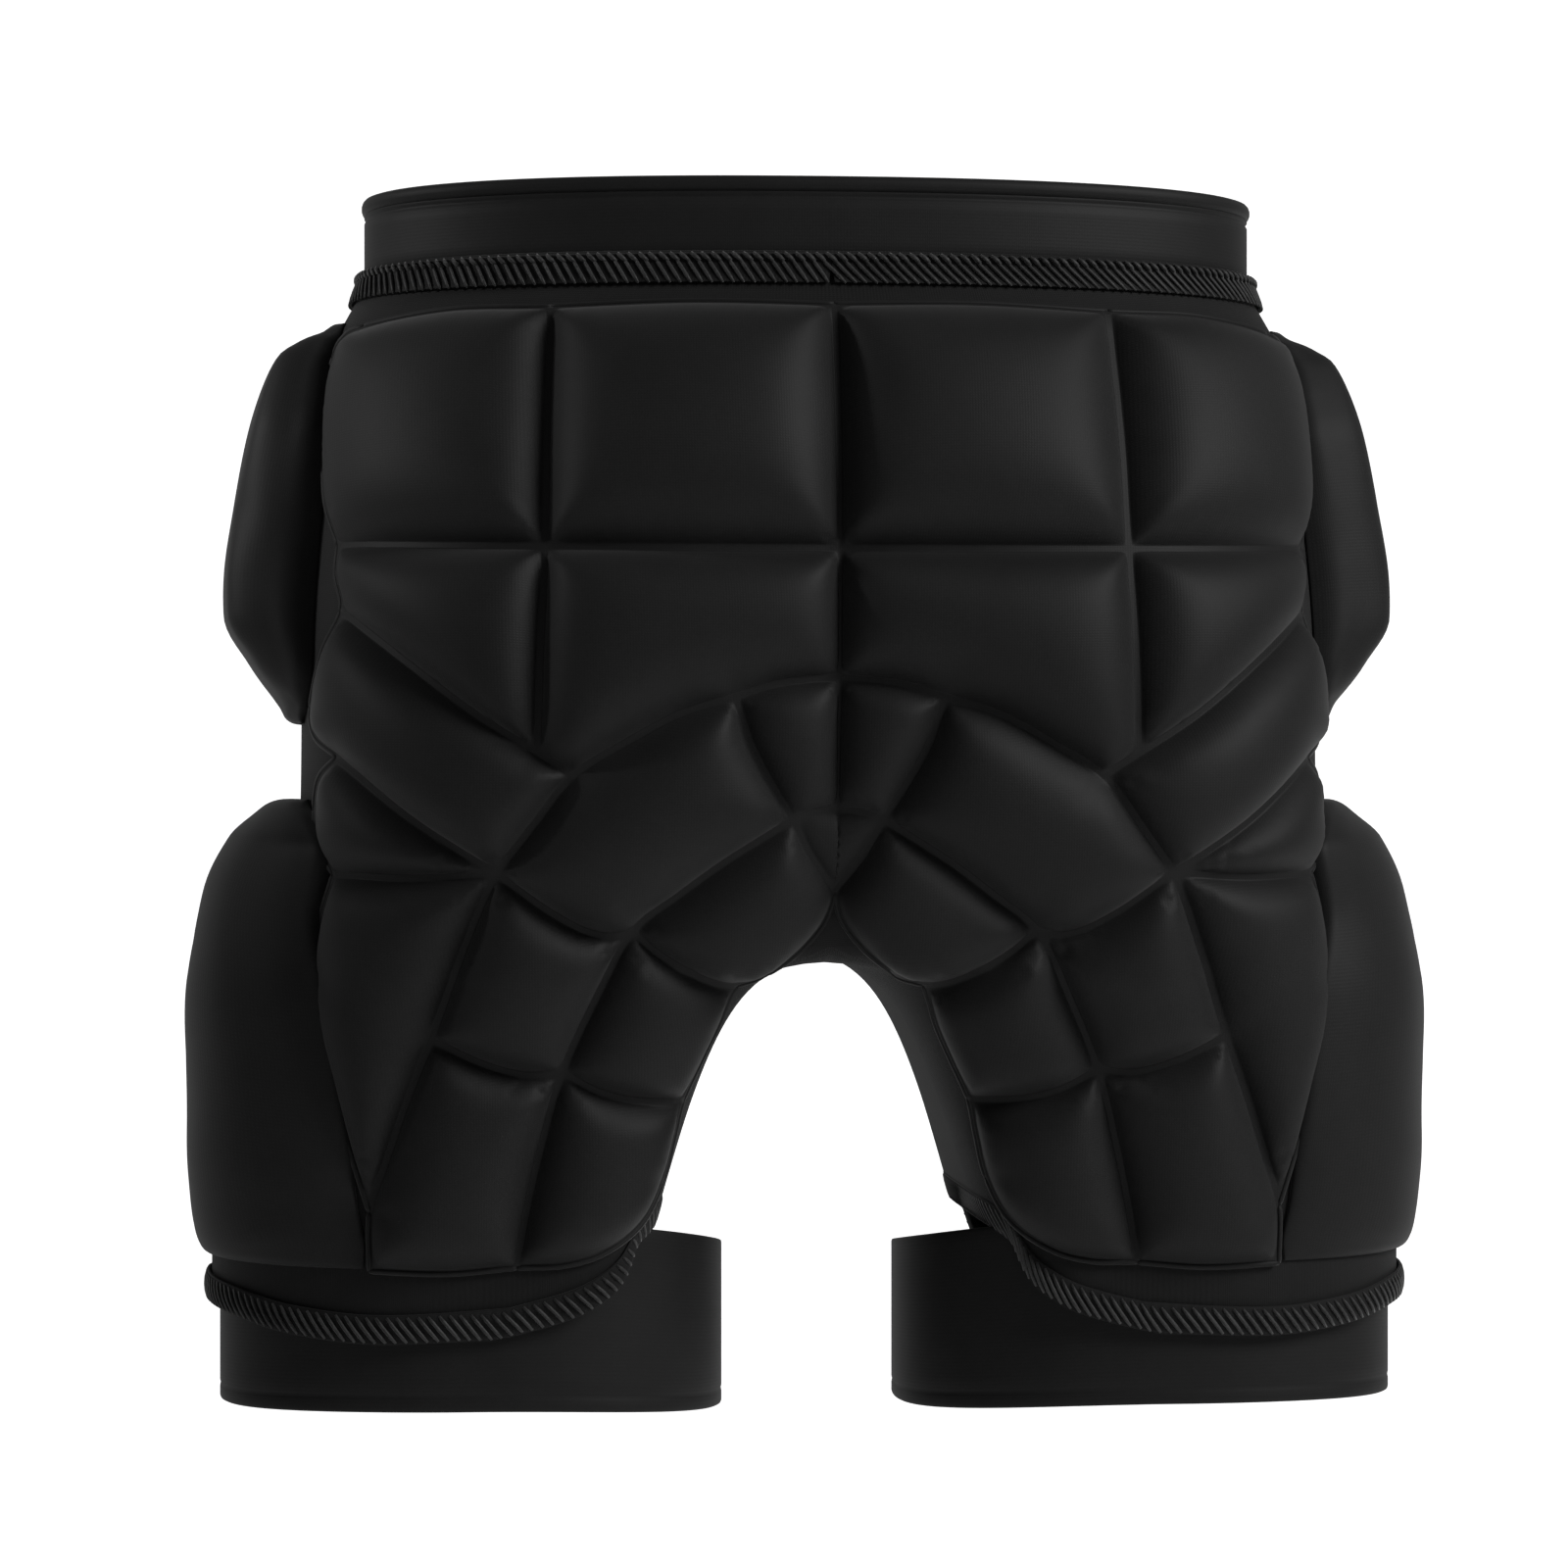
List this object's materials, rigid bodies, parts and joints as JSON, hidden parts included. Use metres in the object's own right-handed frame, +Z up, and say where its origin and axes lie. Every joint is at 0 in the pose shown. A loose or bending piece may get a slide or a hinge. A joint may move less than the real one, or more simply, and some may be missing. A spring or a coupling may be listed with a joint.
{
  "type": "hip and thigh protector",
  "caption": "Padded protective shorts for sport in their worn form: foam cells over seat and thighs, pads at hips and outer thighs, elastic waistband and thigh cuffs.",
  "frame": {"origin": "centre of the waistband's loop at half its height, where the shorts sit on the wearer's waist", "axes": "+Z up along the wearer, +Y to the wearer's front, +X to the wearer's right side, so the padded seat faces -Y"},
  "size_m": [0.4516, 0.2464, 0.431],
  "materials": {
    "knit": "matte black stretch knit",
    "padding": "matte black knit laminated on moulded foam, with a faint sheen",
    "elastic": "smooth black woven elastic",
    "thread": "dark grey overlock thread"
  },
  "bodies": {
    "root": {"waist_hem": "elastic", "waistband": "elastic", "waist_stitching": "thread", "shell": "knit", "seat_padding": "padding", "hip_pad_left": "padding", "hip_pad_right": "padding", "thigh_pad_left": "padding", "thigh_pad_right": "padding", "leg_stitching_left": "thread", "leg_stitching_right": "thread", "cuff_left": "elastic", "cuff_right": "elastic"}
  },
  "joints": []
}
